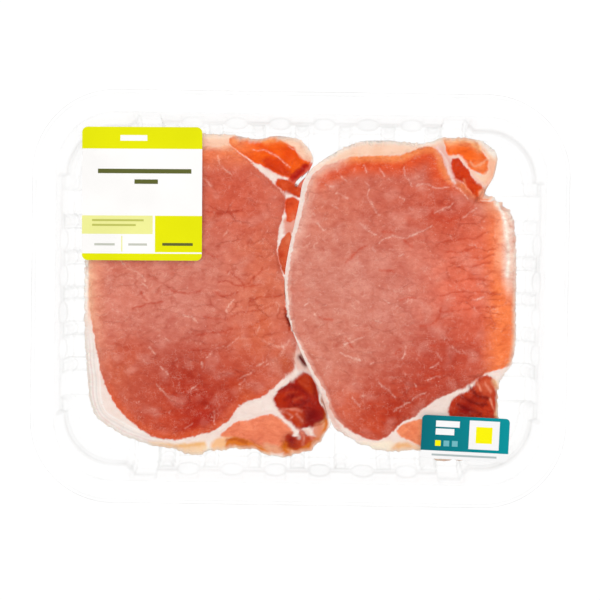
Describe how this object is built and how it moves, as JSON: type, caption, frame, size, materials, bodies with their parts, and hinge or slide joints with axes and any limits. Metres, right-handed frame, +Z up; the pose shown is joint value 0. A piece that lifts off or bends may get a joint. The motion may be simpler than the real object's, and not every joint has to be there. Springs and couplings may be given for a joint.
{
  "type": "meat tray pack",
  "caption": "Sealed clear ribbed tray with a wide flange and a clear film lid, holding raw pork loin steaks side by side, with plain stickers on the film.",
  "frame": {"origin": "middle of the tray's underside, on the surface that it stands on", "axes": "+X along the tray's length, to the right in the picture; +Y across it, to the top of the picture; +Z up out of the film"},
  "size_m": [0.19, 0.1466, 0.0356],
  "materials": {
    "clear_tray": "clear, glossy thermoformed sheet",
    "clear_film": "clear, glossy stretched film",
    "left_meat": "moist raw pork with white fat",
    "right_meat": "moist raw pork with white fat",
    "price_sticker": "coated paper, printed in flat fields",
    "info_sticker": "coated paper, printed in flat fields"
  },
  "bodies": {
    "root": {"tray": "clear_tray", "lid_film": "clear_film", "steak_left": "left_meat", "steak_right": "right_meat", "price_label": "price_sticker", "info_label": "info_sticker"}
  },
  "joints": []
}
